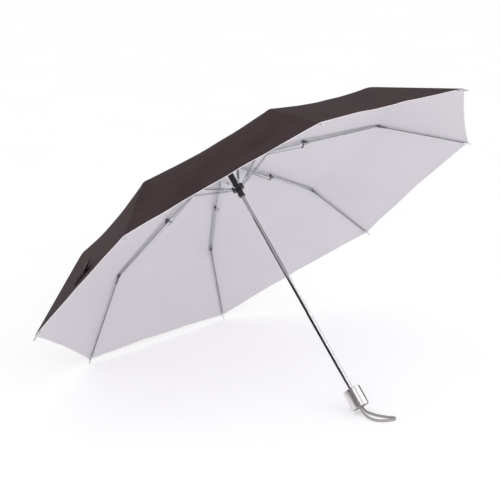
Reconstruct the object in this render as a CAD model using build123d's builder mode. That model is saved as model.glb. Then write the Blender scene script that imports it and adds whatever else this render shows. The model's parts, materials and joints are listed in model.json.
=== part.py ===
from build123d import *
from cmath import phase, rect
from math import atan2, cos, degrees, pi, radians, sin, sqrt, tan
import os

# A compact three-fold umbrella, open, lying on its handle and on two rib tips.
#
# Shaft frame: Z runs along the shaft towards the crown, with z = 0 where the canopy's
# corners lie. Every piece is made there, and LYING turns it into the resting pose:
# +Z up from the floor, handle towards -Y, the two tips that touch the floor towards +Y.
# A rib is made in the X-Z plane, open, and is turned round Z into its place.
# Points in a rib's plane are complex numbers, radius + height * 1j.

# ---- driving dimensions, in millimetres and degrees -------------------------------------
RIBS = 8
FIRST_RIB_ANGLE = 22.5

CROWN_PIN = 8.0 + 165.0j
INNER_RIB = 162.9
MIDDLE_RIB = 163.0
OUTER_RIB = 185.0
TIP_REACH = 8.0
INNER_OPEN, INNER_CLOSED = -9.15, -87.0
MIDDLE_OPEN, MIDDLE_CLOSED = -10.4, 90.0
OUTER_OPEN, OUTER_CLOSED = -35.4, -90.0

STRETCHER_JOINT = 88.0
RUNNER_PIN = 9.5 + 107.0j
LINK_ARM = 7.0
LINK_DROP = 10.5
KNEE_RISE = 3.0
ELBOW_DROP = 2.75

WALL = 0.5
INNER_HALF, INNER_DEPTH = 1.3, 3.5
STRETCHER_HALF, STRETCHER_DEPTH = 2.1, 3.4
MIDDLE_HALF, MIDDLE_DEPTH = 1.9, 3.2
LINK_FACE, LINK_THICK = 2.9, 0.8
ROD_R, TIP_R = 1.0, 1.9
WIRE_R = 0.5
PIN_R, PIN_FIT = 0.8, 0.07
SMALL_PIN_R = 0.6
RING_WIRE_R, RING_EYE_R = 0.6, 0.75
BLADE_HALF, SLOT_HALF = 0.8, 1.1
NODE_GAP = 0.03

TUBE_WALL = 0.35
UPPER_R, MIDDLE_R, LOWER_R = 3.5, 3.9, 4.3
UPPER_TOP, UPPER_END = 178.0, -45.0
MIDDLE_TOP, MIDDLE_END = -15.0, -205.0
LOWER_TOP, LOWER_END = -175.0, -364.0
BUTTON_R, BUTTON_RISE, BUTTON_DROP = 1.5, 0.55, 5.5

CROWN_R, CROWN_LOW, CROWN_HIGH = 11.5, 159.0, 171.5
RUNNER_BORE = 4.9
RUNNER_LOW, RUNNER_HIGH = 88.0, 145.0
HUB_R, HUB_HALF = 12.0, 4.5
CATCH_Z, CATCH_ANCHOR_Z = 140.5, 20.0

CLOTH = 0.5
HANDLE_R, HANDLE_TOP, HANDLE_LOW = 17.3, -339.0, -376.7
STRAP_R = 2.6
STRAP_GAP = 3.1

# ---- the linkage, worked out ---------------------------------------------------------------
def along(origin, angle, x, y=0.0):
    """The point x along a bar and y above it, in the rib's plane."""
    return origin + (x + y * 1j) * rect(1, radians(angle))


def heading(start, end):
    return degrees(phase(end - start))


def bar_plane(origin, angle):
    """A side view of a bar: local X along it, local Y towards the canopy."""
    turn = radians(angle)
    return Plane(
        origin=(origin.real, 0, origin.imag),
        x_dir=(cos(turn), 0, sin(turn)),
        z_dir=(0, -1, 0),
    )


STRETCHER_PIN = along(CROWN_PIN, INNER_OPEN, STRETCHER_JOINT)
KNEE = along(CROWN_PIN, INNER_OPEN, INNER_RIB, KNEE_RISE)
MIDDLE_START = along(KNEE, MIDDLE_OPEN, 0, -KNEE_RISE)
ELBOW = along(MIDDLE_START, MIDDLE_OPEN, MIDDLE_RIB, -ELBOW_DROP)
CORNER = along(ELBOW, OUTER_OPEN, OUTER_RIB)

STRETCHER = abs(STRETCHER_PIN - RUNNER_PIN)
STRETCHER_OPEN = heading(RUNNER_PIN, STRETCHER_PIN)
CLOSED_PIN = along(CROWN_PIN, INNER_CLOSED, STRETCHER_JOINT)
CLOSED_REACH = sqrt(STRETCHER**2 - (CLOSED_PIN.real - RUNNER_PIN.real) ** 2)
CLOSED_RUNNER_PIN = RUNNER_PIN.real + (CLOSED_PIN.imag - CLOSED_REACH) * 1j
STRETCHER_CLOSED = heading(CLOSED_RUNNER_PIN, CLOSED_PIN)
RUNNER_TRAVEL = RUNNER_PIN.imag - CLOSED_RUNNER_PIN.imag

# The link joins the stretcher, LINK_ARM from its joint, to the middle rib's heel. Its
# length is the same open and closed, which leaves the heel's hole one line to lie on.
LINK_PIN = along(STRETCHER_PIN, STRETCHER_OPEN, -LINK_ARM)
CLOSED_LINK_PIN = along(CLOSED_PIN, STRETCHER_CLOSED, -LINK_ARM)
CLOSED_KNEE = along(CROWN_PIN, INNER_CLOSED, INNER_RIB, KNEE_RISE)
MIDDLE_TURN = rect(1, radians(MIDDLE_CLOSED - MIDDLE_OPEN))
open_arm = KNEE - LINK_PIN
closed_arm = CLOSED_KNEE - CLOSED_LINK_PIN
line = open_arm - closed_arm / MIDDLE_TURN
line_place = (abs(closed_arm) ** 2 - abs(open_arm) ** 2) / 2 / abs(line)
HEEL = KNEE + (line_place - LINK_DROP * 1j) * line / abs(line)
CLOSED_HEEL = CLOSED_KNEE + (HEEL - KNEE) * MIDDLE_TURN
LINK = abs(HEEL - LINK_PIN)
LINK_OPEN = heading(LINK_PIN, HEEL)
LINK_CLOSED = heading(CLOSED_LINK_PIN, CLOSED_HEEL)

# ---- the resting pose -----------------------------------------------------------------------
# The handle's lower rim and two neighbouring tips share the floor.
TIP_END = along(ELBOW, OUTER_OPEN, OUTER_RIB + TIP_REACH - TIP_R)
TIP_SIDE = TIP_END.real * cos(radians(180 / RIBS))

# They do at the lean where rise * sin(lean) - run * cos(lean) is a tip's radius.
rise = TIP_END.imag - HANDLE_LOW
run = TIP_SIDE - HANDLE_R
SHAFT_LEAN = degrees(atan2(run, rise)) + degrees(atan2(TIP_R, sqrt(rise**2 + run**2 - TIP_R**2)))
FLOOR = HANDLE_LOW * sin(radians(SHAFT_LEAN)) - HANDLE_R * cos(radians(SHAFT_LEAN))
LYING = Location((0, 0, -FLOOR), (SHAFT_LEAN - 90, 0, 0))


# ---- shapes that repeat ---------------------------------------------------------------------
def cross_pin(view, x, y, radius, low, high, mode=Mode.ADD):
    """A round pin or hole square to the rib's plane, between two distances from it."""
    with BuildSketch(view.offset(low)) as section:
        with Locations((x, y)):
            Circle(radius)
    extrude(section.sketch, amount=high - low, mode=mode)


def through_pin(view, x, y, radius, half, mode=Mode.ADD):
    cross_pin(view, x, y, radius, -half, half, mode)


def rivet_heads(view, x, y, radius, face, thick):
    """One flat head on each side, from face outwards."""
    cross_pin(view, x, y, radius, face, face + thick)
    cross_pin(view, x, y, radius, -face - thick, -face)


def bar(view, start, end, depth, half, mode=Mode.ADD, rise=0.0):
    """A straight bar of rectangular section from start to end along the view's X."""
    with BuildSketch(view) as outline:
        with Locations(((start + end) / 2, rise)):
            Rectangle(end - start, depth)
    extrude(outline.sketch, amount=half, both=True, mode=mode)


def channel(view, start, end, depth, half):
    """A U-channel with its web on the canopy side."""
    bar(view, start, end, depth, half)
    bar(view, start, end, depth, half - WALL, Mode.SUBTRACT, -WALL)


def eye(view, points, half):
    """A plate whose outline wraps round circles, given as (x, y, radius)."""
    with BuildSketch(view) as outline:
        with BuildLine():
            for x, y, radius in points:
                CenterArc((x, y), radius, 0, 360)
        make_hull()
    extrude(outline.sketch, amount=half, both=True)


# ---- one rib, open, in the X-Z plane --------------------------------------------------------
def make_top_rib():
    view = bar_plane(CROWN_PIN, INNER_OPEN)
    eye_r = 2.0
    blade_end = 14.0
    tongue = 8.0
    with BuildPart() as top_rib:
        channel(view, blade_end - 2, INNER_RIB - tongue, INNER_DEPTH, INNER_HALF)
        eye(view, [(0, 0, eye_r), (blade_end, INNER_DEPTH / 2 - 1.5, 1.5)], BLADE_HALF)
        eye(view, [(INNER_RIB - tongue - 1, 0, INNER_DEPTH / 2), (INNER_RIB, KNEE_RISE, eye_r)], 0.9)
        through_pin(view, 0, 0, RING_EYE_R, INNER_HALF, Mode.SUBTRACT)
        through_pin(view, STRETCHER_JOINT, 0, PIN_R, STRETCHER_HALF + 0.05)
        rivet_heads(view, STRETCHER_JOINT, 0, 1.5, STRETCHER_HALF + 0.05, 0.5)
        through_pin(view, INNER_RIB, KNEE_RISE, PIN_R, MIDDLE_HALF + 0.05)
        rivet_heads(view, INNER_RIB, KNEE_RISE, 1.4, MIDDLE_HALF + 0.05, 0.45)
    return top_rib.part


def make_stretcher():
    view = bar_plane(RUNNER_PIN, STRETCHER_OPEN)
    blade_end = 19.0
    fork = 10.0
    reach = STRETCHER + 2.0
    with BuildPart() as stretcher:
        channel(view, blade_end - 2, reach, STRETCHER_DEPTH, STRETCHER_HALF)
        bar(view, STRETCHER - fork, reach, STRETCHER_DEPTH, STRETCHER_HALF - WALL, Mode.SUBTRACT)
        eye(view, [(0, 0, 2.0), (blade_end, STRETCHER_DEPTH / 2 - 1.5, 1.5)], BLADE_HALF)
        through_pin(view, 0, 0, RING_EYE_R, STRETCHER_HALF, Mode.SUBTRACT)
        through_pin(view, STRETCHER, 0, PIN_R + PIN_FIT, STRETCHER_HALF, Mode.SUBTRACT)
        link_x = STRETCHER - LINK_ARM
        outer_face = LINK_FACE + LINK_THICK + 0.05
        cross_pin(view, link_x, 0, SMALL_PIN_R, -outer_face, -STRETCHER_HALF + WALL)
        cross_pin(view, link_x, 0, 1.2, -outer_face - 0.4, -outer_face)
    return stretcher.part


def make_link():
    view = bar_plane(LINK_PIN, LINK_OPEN)
    outer_face = LINK_FACE + LINK_THICK
    with BuildPart() as link:
        with BuildSketch(view.offset(-outer_face)):
            with BuildLine():
                CenterArc((0, 0), 1.4, 0, 360)
                CenterArc((LINK, 0), 1.4, 0, 360)
            make_hull()
        extrude(amount=LINK_THICK)
        cross_pin(view, 0, 0, SMALL_PIN_R + PIN_FIT, -outer_face, -LINK_FACE, Mode.SUBTRACT)
        cross_pin(view, LINK, 0, 1.1, -outer_face - 0.4, -outer_face)
    return link.part


def make_middle_rib():
    view = bar_plane(MIDDLE_START, MIDDLE_OPEN)
    web_start = 8.0
    heel = (HEEL - MIDDLE_START) * rect(1, -radians(MIDDLE_OPEN))
    inner_half = MIDDLE_HALF - WALL
    with BuildPart() as middle_rib:
        channel(view, 1, MIDDLE_RIB - 2, MIDDLE_DEPTH, MIDDLE_HALF)
        eye(view, [(0, KNEE_RISE, 1.9), (5, 0, 1.5)], MIDDLE_HALF)
        eye(view, [(0, KNEE_RISE, 1.9), (heel.real, heel.imag, 1.5)], MIDDLE_HALF)
        eye(view, [(MIDDLE_RIB, -ELBOW_DROP, 1.8), (MIDDLE_RIB - 6, 0, 1.6)], MIDDLE_HALF)
        bar(view, -15, web_start, 30, inner_half, Mode.SUBTRACT)
        bar(view, MIDDLE_RIB - 9, MIDDLE_RIB + 5, 30, inner_half, Mode.SUBTRACT)
        through_pin(view, 0, KNEE_RISE, PIN_R + PIN_FIT, MIDDLE_HALF, Mode.SUBTRACT)
        cross_pin(view, heel.real, heel.imag, SMALL_PIN_R, -LINK_FACE + 0.2, -inner_half)
        through_pin(view, MIDDLE_RIB, -ELBOW_DROP, PIN_R, MIDDLE_HALF)
        rivet_heads(view, MIDDLE_RIB, -ELBOW_DROP, 1.4, MIDDLE_HALF, 0.4)
    return middle_rib.part


def make_tension_wire():
    """The wire beside the middle rib, hooked into its heel and into its outer ear."""
    view = bar_plane(MIDDLE_START, MIDDLE_OPEN)
    side = MIDDLE_HALF + WIRE_R + 0.5
    hooks = [(-4.6, -5.6), (MIDDLE_RIB - 2.5, -ELBOW_DROP - 0.45)]
    ends = [view.from_local_coords((x, y, side)) for x, y in hooks]
    with BuildPart() as wire:
        with BuildSketch(Plane(ends[0], z_dir=ends[1] - ends[0])):
            Circle(WIRE_R)
        extrude(amount=(ends[1] - ends[0]).length)
        for x, y in hooks:
            cross_pin(view, x, y, WIRE_R, MIDDLE_HALF + NODE_GAP, side)
            with Locations(view.from_local_coords((x, y, side))):
                Sphere(WIRE_R)
    return wire.part


def make_outer_rib():
    view = bar_plane(ELBOW, OUTER_OPEN)
    clamp = 16.0
    rod_end = OUTER_RIB + 2.0
    with BuildPart() as outer_rib:
        eye(view, [(0, 0, 2.0), (clamp - 1.4, 0, 1.4)], ROD_R)
        with BuildSketch(Plane(view.from_local_coords((clamp - 2, 0, 0)), x_dir=(0, 1, 0), z_dir=view.x_dir)):
            Circle(ROD_R)
        extrude(amount=rod_end - clamp + 2)
        through_pin(view, 0, 0, PIN_R + PIN_FIT, ROD_R, Mode.SUBTRACT)
    return outer_rib.part


def make_rib_tip():
    """The moulded cap over the rod's end, which the canopy's corner is sewn to."""
    view = bar_plane(ELBOW, OUTER_OPEN)
    start = OUTER_RIB - 6.0
    length = TIP_REACH + 6.0
    with BuildPart() as tip:
        with BuildSketch(view):
            with BuildLine():
                Polyline((start, 0), (start, 1.4), (start + 5, TIP_R), (start + length - TIP_R, TIP_R))
                RadiusArc((start + length - TIP_R, TIP_R), (start + length, 0), TIP_R)
                Line((start + length, 0), (start, 0))
            make_face()
        spin = Axis((CORNER.real, 0, CORNER.imag), view.x_dir)
        revolve(axis=spin)
        with BuildSketch(Plane(view.from_local_coords((start, 0, 0)), x_dir=(0, 1, 0), z_dir=view.x_dir)):
            Circle(ROD_R + NODE_GAP)
        extrude(amount=8 + NODE_GAP, mode=Mode.SUBTRACT)
    return tip.part


# ---- the shaft --------------------------------------------------------------------------------
def make_tube(radius, top, end, holes=()):
    """A drawn tube with round holes in its -Y side, given as (height, radius)."""
    with BuildPart() as tube:
        with BuildSketch(Plane.XY.offset(end)):
            Circle(radius)
            Circle(radius - TUBE_WALL, mode=Mode.SUBTRACT)
        extrude(amount=top - end)
        for height, hole_r in holes:
            with BuildSketch(Plane.XZ):
                with Locations((0, height)):
                    Circle(hole_r)
            extrude(amount=radius + 1, mode=Mode.SUBTRACT)
    return tube.part


def make_button(radius, height):
    """A sprung pip that stands in the hole of the outer tube at a joint of the shaft."""
    with BuildPart() as button:
        with BuildSketch(Plane.XZ.offset(radius - TUBE_WALL + 0.02)):
            with Locations((0, height)):
                Circle(BUTTON_R)
        extrude(amount=TUBE_WALL + BUTTON_RISE)
        fillet(button.edges().filter_by(GeomType.CIRCLE).sort_by(Axis.Y)[0], 0.4)
    return button.part


def make_catch():
    """The leaf inside the upper tube whose nose stands in the runner's window."""
    leaf_face = 2.3
    leaf = 0.5
    with BuildPart() as catch:
        with BuildSketch(Plane.XZ.offset(leaf_face)):
            with Locations((0, (CATCH_Z + CATCH_ANCHOR_Z) / 2)):
                Rectangle(2.4, CATCH_Z - CATCH_ANCHOR_Z + 8)
        extrude(amount=leaf)
        with BuildSketch(Plane.YZ):
            Polygon(
                (-leaf_face, CATCH_Z - 2.5),
                (-RUNNER_BORE + 0.15, CATCH_Z - 2.5),
                (-leaf_face, CATCH_Z + 3.0),
                align=None,
            )
        extrude(amount=0.8, both=True)
        with BuildSketch(Plane.XZ.offset(leaf_face)):
            with Locations((0, CATCH_ANCHOR_Z)):
                Circle(0.8)
        extrude(amount=UPPER_R - 0.1 - leaf_face)
    return catch.part


def spoked_ring(radius, bore, low, high, slot_from):
    """A hub with one open slot for each rib, cut through its full height."""
    with BuildSketch(Plane.XY.offset(low)) as ring:
        Circle(radius)
        Circle(bore, mode=Mode.SUBTRACT)
        slot = radius + 1 - slot_from
        with PolarLocations(slot_from + slot / 2, RIBS, FIRST_RIB_ANGLE):
            Rectangle(slot, 2 * SLOT_HALF, mode=Mode.SUBTRACT)
    extrude(ring.sketch, amount=high - low)


def ring_wire_cut(pin, radius, mode):
    """A ring of round wire through the middle of a hub's slots."""
    with BuildSketch(Plane.XZ) as section:
        with Locations((pin.real, pin.imag)):
            Circle(radius)
    revolve(section.sketch, axis=Axis.Z, mode=mode)


def make_crown():
    with BuildPart() as crown:
        spoked_ring(CROWN_R, UPPER_R, CROWN_LOW, CROWN_HIGH, 5.6)
        with BuildSketch(Plane.XY.offset(CROWN_LOW - 7)):
            Circle(5.4)
            Circle(UPPER_R, mode=Mode.SUBTRACT)
        extrude(amount=7)
        ring_wire_cut(CROWN_PIN, RING_WIRE_R + 0.02, Mode.SUBTRACT)
    return crown.part


def make_crown_wire():
    with BuildPart() as crown_wire:
        ring_wire_cut(CROWN_PIN, RING_WIRE_R, Mode.ADD)
    return crown_wire.part


def make_top_cap():
    """The ferrule that clamps the middle of the canopy to the crown."""
    low = CROWN_HIGH + CLOTH + 0.3
    nose_r = 3.4
    with BuildPart() as cap:
        with BuildSketch(Plane.XZ):
            with BuildLine():
                Polyline((0, low), (10, low), (10, low + 1.6), (6.5, low + 3.2), (4.2, low + 12))
                Line((4.2, low + 12), (nose_r, low + 21))
                CenterArc((0, low + 21), nose_r, 0, 90)
                Line((0, low + 21 + nose_r), (0, low))
            make_face()
        revolve(axis=Axis.Z)
        with BuildSketch(Plane.XY.offset(low)):
            Circle(UPPER_R)
        extrude(amount=UPPER_TOP - low, mode=Mode.SUBTRACT)
    return cap.part


def make_runner():
    hub_low = RUNNER_PIN.imag - HUB_HALF
    hub_high = RUNNER_PIN.imag + HUB_HALF
    sleeve_r = 5.9
    with BuildPart() as runner:
        spoked_ring(HUB_R, RUNNER_BORE, hub_low, hub_high, 7.0)
        with BuildSketch(Plane.XY.offset(RUNNER_LOW)):
            Circle(sleeve_r)
            Circle(RUNNER_BORE, mode=Mode.SUBTRACT)
        extrude(amount=RUNNER_HIGH - RUNNER_LOW)
        with BuildSketch(Plane.XY.offset(RUNNER_LOW)):
            with PolarLocations(3.0, 2, 20):
                Circle(5.0)
            Circle(RUNNER_BORE, mode=Mode.SUBTRACT)
        extrude(amount=5)
        with BuildSketch(Plane.XZ):
            with Locations((0, CATCH_Z)):
                SlotCenterToCenter(4.0, 3.2, rotation=90)
        extrude(amount=sleeve_r + 1, mode=Mode.SUBTRACT)
        ring_wire_cut(RUNNER_PIN, RING_WIRE_R + 0.02, Mode.SUBTRACT)
    return runner.part


def make_runner_wire():
    """The ring wire of the runner, left open where each stretcher's eye comes and goes."""
    with BuildPart() as wire:
        ring_wire_cut(RUNNER_PIN, RING_WIRE_R, Mode.ADD)
        with BuildSketch(Plane.XY.offset(RUNNER_PIN.imag - 1)):
            with PolarLocations(RUNNER_PIN.real, RIBS, FIRST_RIB_ANGLE):
                Rectangle(4, 2 * SLOT_HALF)
        extrude(amount=2, mode=Mode.SUBTRACT)
    return wire.part


# ---- the canopy --------------------------------------------------------------------------------
def canopy_stations(lift):
    """Radius and height of the canopy's folds, along a rib, this far above its inner face."""
    face = CROWN_HIGH + 0.1 + lift
    knee = along(MIDDLE_START, MIDDLE_OPEN, 0, KNEE_RISE + 2.5 + lift)
    elbow = along(MIDDLE_START, MIDDLE_OPEN, MIDDLE_RIB, MIDDLE_DEPTH / 2 + 0.6 + lift)
    corner = along(ELBOW, OUTER_OPEN, OUTER_RIB - 7, TIP_R + 0.4 + lift)
    rim = along(ELBOW, OUTER_OPEN, OUTER_RIB, TIP_R + 0.4 + lift)
    return [12.0 + face * 1j, knee, elbow, corner, rim]


def octagon(radius, height):
    with BuildSketch(Plane.XY.offset(height)) as ring:
        RegularPolygon(radius, RIBS, rotation=FIRST_RIB_ANGLE)
    return ring.sketch


def canopy_body(lift, skirt):
    """The solid under the canopy's folds: a stack of eight-sided frustums and a low skirt."""
    stations = canopy_stations(lift)
    for upper, lower in zip(stations, stations[1:]):
        loft([octagon(upper.real, upper.imag), octagon(lower.real, lower.imag)])
    rim = stations[-1]
    extrude(octagon(rim.real, rim.imag - skirt), amount=skirt)


def make_canopy():
    with BuildPart() as under:
        canopy_body(0.0, 20.0)
    with BuildPart() as canopy:
        canopy_body(CLOTH, 0.6)
        add(under.part, mode=Mode.SUBTRACT)
        with BuildSketch(Plane.XY.offset(CROWN_HIGH - 5)):
            Circle(UPPER_R + 0.3)
        extrude(amount=20, mode=Mode.SUBTRACT)
    return canopy.part


TIE_AT = 0.80


def tie_plane(lift):
    """A plane on the outer face of the panel towards -X, near its rim, with X along the rim."""
    stations = canopy_stations(CLOTH)
    flat = cos(radians(180 / RIBS))
    inner, outer = stations[2], stations[3]
    spot = inner + (outer - inner) * TIE_AT
    slope = atan2((outer - inner).imag, (outer - inner).real * flat)
    normal = Vector(sin(slope), 0, cos(slope))
    foot = Vector(-spot.real * flat, 0, spot.imag)
    return Plane(origin=foot + normal * lift, x_dir=(0, 1, 0), z_dir=normal)


def make_tie_strap():
    with BuildPart() as tie:
        with BuildSketch(tie_plane(0.3)):
            RectangleRounded(64, 15, 3)
        extrude(amount=1.4)
    return tie.part


def make_tie_snap():
    with BuildPart() as snap:
        with BuildSketch(tie_plane(1.75)):
            with Locations((-24, 0)):
                Circle(4.2)
        extrude(amount=1.2)
        fillet(snap.faces().sort_by(Axis((0, 0, 0), tie_plane(0).z_dir))[-1].edges(), 0.5)
    return snap.part


# ---- the handle ---------------------------------------------------------------------------------
CORE_R = 15.7
CORE_LOW = HANDLE_LOW + 2.0
PLUG_R = 6.5
PLUG_HEIGHT = 8.0


def make_handle_shell():
    top_plate = 2.0
    notch_angle = -45
    with BuildPart() as shell:
        with BuildSketch(Plane.XY.offset(HANDLE_LOW)):
            Circle(HANDLE_R)
        extrude(amount=HANDLE_TOP - HANDLE_LOW)
        chamfer(shell.faces().sort_by(Axis.Z)[-1].edges(), 1.0)
        chamfer(shell.faces().sort_by(Axis.Z)[0].edges(), 0.4)
        with BuildSketch(Plane.XY.offset(HANDLE_LOW)):
            Circle(CORE_R)
        extrude(amount=HANDLE_TOP - HANDLE_LOW - top_plate, mode=Mode.SUBTRACT)
        with BuildSketch(Plane.XY.offset(HANDLE_LOW)):
            Circle(LOWER_R)
        extrude(amount=HANDLE_TOP - HANDLE_LOW, mode=Mode.SUBTRACT)
        with BuildSketch(Plane.XY.offset(HANDLE_LOW)):
            with PolarLocations(HANDLE_R, 1, notch_angle):
                Rectangle(6, 4)
        extrude(amount=2.4, mode=Mode.SUBTRACT)
    return shell.part


def make_handle_core():
    with BuildPart() as core:
        with BuildSketch(Plane.XY.offset(CORE_LOW)):
            Circle(CORE_R)
        extrude(amount=HANDLE_TOP - 2.0 - CORE_LOW)
        with BuildSketch(Plane.XY.offset(LOWER_END)):
            Circle(LOWER_R)
        extrude(amount=HANDLE_TOP - LOWER_END, mode=Mode.SUBTRACT)
        with BuildSketch(Plane.XY.offset(CORE_LOW)):
            Circle(PLUG_R)
        extrude(amount=PLUG_HEIGHT, mode=Mode.SUBTRACT)
    return core.part


def make_strap_plug():
    with BuildPart() as plug:
        with BuildSketch(Plane.XY.offset(CORE_LOW)):
            Circle(PLUG_R)
        extrude(amount=PLUG_HEIGHT)
    return plug.part


# ---- the wrist strap ------------------------------------------------------------------------------
# A limp cord that leaves the handle's plug beside the middle, lies on the floor as a flat
# loop and comes back to the plug. The route is in the resting frame, before the frame's
# origin is moved to the middle of the object's base.
STRAP_FLOOR = STRAP_R + 0.1
STRAP_LEAVE = 11.5


def strap_exit(x, out):
    """A point this far out of the plug, straight down the shaft's line."""
    return tuple((LYING * Location((x, 0, CORE_LOW - out))).position)


def strap_route():
    return [
        strap_exit(STRAP_GAP, 0),
        strap_exit(STRAP_GAP, STRAP_LEAVE),
        (7.0, -266.0, STRAP_FLOOR),
        (12.5, -281.0, STRAP_FLOOR),
        (14.5, -296.0, STRAP_FLOOR),
        (19.0, -306.0, STRAP_FLOOR),
        (18.0, -315.0, STRAP_FLOOR),
        (9.5, -316.5, STRAP_FLOOR),
        (0.5, -308.0, STRAP_FLOOR),
        (-8.5, -297.0, STRAP_FLOOR),
        (-12.0, -282.5, STRAP_FLOOR),
        (-8.5, -267.0, STRAP_FLOOR),
        strap_exit(-STRAP_GAP, STRAP_LEAVE),
        strap_exit(-STRAP_GAP, 0),
    ]


def route_radii(points):
    """Each corner's arc: 0.45 of its shorter run, over the tangent of half the turn."""
    radii = []
    for before, here, after in zip(points, points[1:], points[2:]):
        into = Vector(*here) - Vector(*before)
        out = Vector(*after) - Vector(*here)
        turn = into.get_angle(out)
        radii.append(0.45 * min(into.length, out.length) / tan(radians(turn / 2)))
    return radii


def make_wrist_strap():
    points = strap_route()
    radii = route_radii(points)
    print("strap radii", [round(r, 1) for r in radii])
    with BuildPart() as strap:
        with BuildLine() as path:
            FilletPolyline(*points, radius=radii)
        start = path.line @ 0
        with BuildSketch(Plane(origin=start, z_dir=path.line % 0)):
            Circle(STRAP_R)
        sweep()
    length = path.wires()[0].length
    straight = pi * STRAP_R**2 * length
    print("strap length", round(length, 1), "volume ratio", round(strap.part.volume / straight, 4))
    return strap.part


# ---- assembly ---------------------------------------------------------------------------------------
def build():
    """Every node by name, in the resting frame, before the origin is moved."""
    shaft = {
        "canopy": make_canopy(),
        "tie_strap": make_tie_strap(),
        "tie_snap": make_tie_snap(),
        "top_cap": make_top_cap(),
        "crown": make_crown(),
        "crown_wire": make_crown_wire(),
        "runner": make_runner(),
        "runner_wire": make_runner_wire(),
        "runner_catch": make_catch(),
        "upper_tube": make_tube(
            UPPER_R,
            UPPER_TOP,
            UPPER_END,
            [(MIDDLE_TOP - BUTTON_DROP, 1.8), (CATCH_Z, 3.6), (CATCH_ANCHOR_Z, 1.0)],
        ),
        "middle_tube": make_tube(
            MIDDLE_R,
            MIDDLE_TOP,
            MIDDLE_END,
            [(MIDDLE_TOP - BUTTON_DROP, 1.6), (LOWER_TOP - BUTTON_DROP, 1.8)],
        ),
        "lower_tube": make_tube(LOWER_R, LOWER_TOP, LOWER_END, [(LOWER_TOP - BUTTON_DROP, 1.6)]),
        "upper_button": make_button(MIDDLE_R, MIDDLE_TOP - BUTTON_DROP),
        "lower_button": make_button(LOWER_R, LOWER_TOP - BUTTON_DROP),
        "handle_shell": make_handle_shell(),
        "handle_core": make_handle_core(),
        "strap_plug": make_strap_plug(),
    }
    middle_rib = make_middle_rib()
    wire = make_tension_wire()
    outer_rib = make_outer_rib()
    tip = make_rib_tip()
    rib = {
        "top_rib": [make_top_rib()],
        "stretcher": [make_stretcher()],
        "link": [make_link()],
        "middle_rib": [middle_rib, wire],
        "outer_rib": [outer_rib, tip],
    }
    nodes = {name: LYING * part for name, part in shaft.items()}
    for i in range(RIBS):
        turn = Location((0, 0, 0), (0, 0, FIRST_RIB_ANGLE + i * 360 / RIBS))
        for name, pieces in rib.items():
            solids = [LYING * turn * piece for piece in pieces]
            whole = solids[0] if len(solids) == 1 else Compound(children=solids)
            nodes[f"{name}_{i + 1}"] = whole
    nodes["wrist_strap"] = make_wrist_strap()
    return nodes


def base_middle(nodes):
    """The middle of the floor under the object's box, leaving the free cord out."""
    boxes = [part.bounding_box() for name, part in nodes.items() if name != "wrist_strap"]
    low_x = min(box.min.X for box in boxes)
    high_x = max(box.max.X for box in boxes)
    low_y = min(box.min.Y for box in boxes)
    high_y = max(box.max.Y for box in boxes)
    return Vector((low_x + high_x) / 2, (low_y + high_y) / 2, 0)


def main():
    os.makedirs("parts", exist_ok=True)
    nodes = build()
    middle = base_middle(nodes)
    print("base middle", middle, "lean", round(SHAFT_LEAN, 3))
    home = Location(-middle)
    for name, part in nodes.items():
        placed = home * part
        placed.label = name
        export_step(placed, f"parts/{name}.step")


main()
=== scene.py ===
import json
import math
from collections import namedtuple

import bpy
import numpy as np
from mathutils import Euler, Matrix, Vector


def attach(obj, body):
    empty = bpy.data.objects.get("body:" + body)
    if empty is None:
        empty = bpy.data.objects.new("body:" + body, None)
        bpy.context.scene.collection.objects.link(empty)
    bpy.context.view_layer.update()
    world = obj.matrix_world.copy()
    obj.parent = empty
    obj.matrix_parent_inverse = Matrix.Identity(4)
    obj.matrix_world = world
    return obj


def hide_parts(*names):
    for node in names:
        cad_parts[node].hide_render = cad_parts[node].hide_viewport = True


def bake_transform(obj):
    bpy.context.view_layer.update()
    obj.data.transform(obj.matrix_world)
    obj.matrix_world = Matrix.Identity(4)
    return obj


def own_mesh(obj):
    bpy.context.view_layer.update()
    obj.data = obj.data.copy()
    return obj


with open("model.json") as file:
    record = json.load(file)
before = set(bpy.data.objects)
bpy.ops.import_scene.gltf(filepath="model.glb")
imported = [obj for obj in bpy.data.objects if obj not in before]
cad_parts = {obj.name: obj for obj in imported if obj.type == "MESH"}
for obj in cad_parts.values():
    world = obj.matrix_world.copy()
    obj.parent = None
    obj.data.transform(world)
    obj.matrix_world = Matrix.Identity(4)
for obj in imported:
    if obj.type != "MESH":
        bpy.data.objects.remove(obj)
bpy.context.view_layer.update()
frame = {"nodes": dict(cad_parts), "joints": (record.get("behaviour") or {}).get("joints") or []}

# A compact three-fold umbrella, lying open on its grip and on two rib tips. The packed
# model carries the shaft, the ribs and the grip. This file adds their finishes and makes
# the cloth: the canopy, the tie strap and the wrist strap. All lengths are in metres.

nodes = frame["nodes"]
joints = {j["name"]: j for j in frame["joints"]}
scene = bpy.context.scene

# ---- the shaft frame, from the joints ------------------------------------------------------
RIBS = range(1, 9)
CROWN_PIN_HEIGHT = 0.165
UP = Vector(joints["runner_slide"]["axis"])
PINS = [Vector(joints[f"top_rib_{i}_hinge"]["pos_m"]) for i in RIBS]
CENTRE = sum(PINS, Vector()) / len(PINS) - CROWN_PIN_HEIGHT * UP
TANGENTS = {i: -Vector(joints[f"top_rib_{i}_hinge"]["axis"]) for i in RIBS}
RADIALS = {i: TANGENTS[i].cross(UP) for i in RIBS}


def hinge_point(name, i):
    """A hinge of rib i as (radius, height) in the shaft frame."""
    offset = Vector(joints[f"{name}_{i}_hinge"]["pos_m"]) - CENTRE
    return offset.dot(RADIALS[i]), offset.dot(UP)


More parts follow.
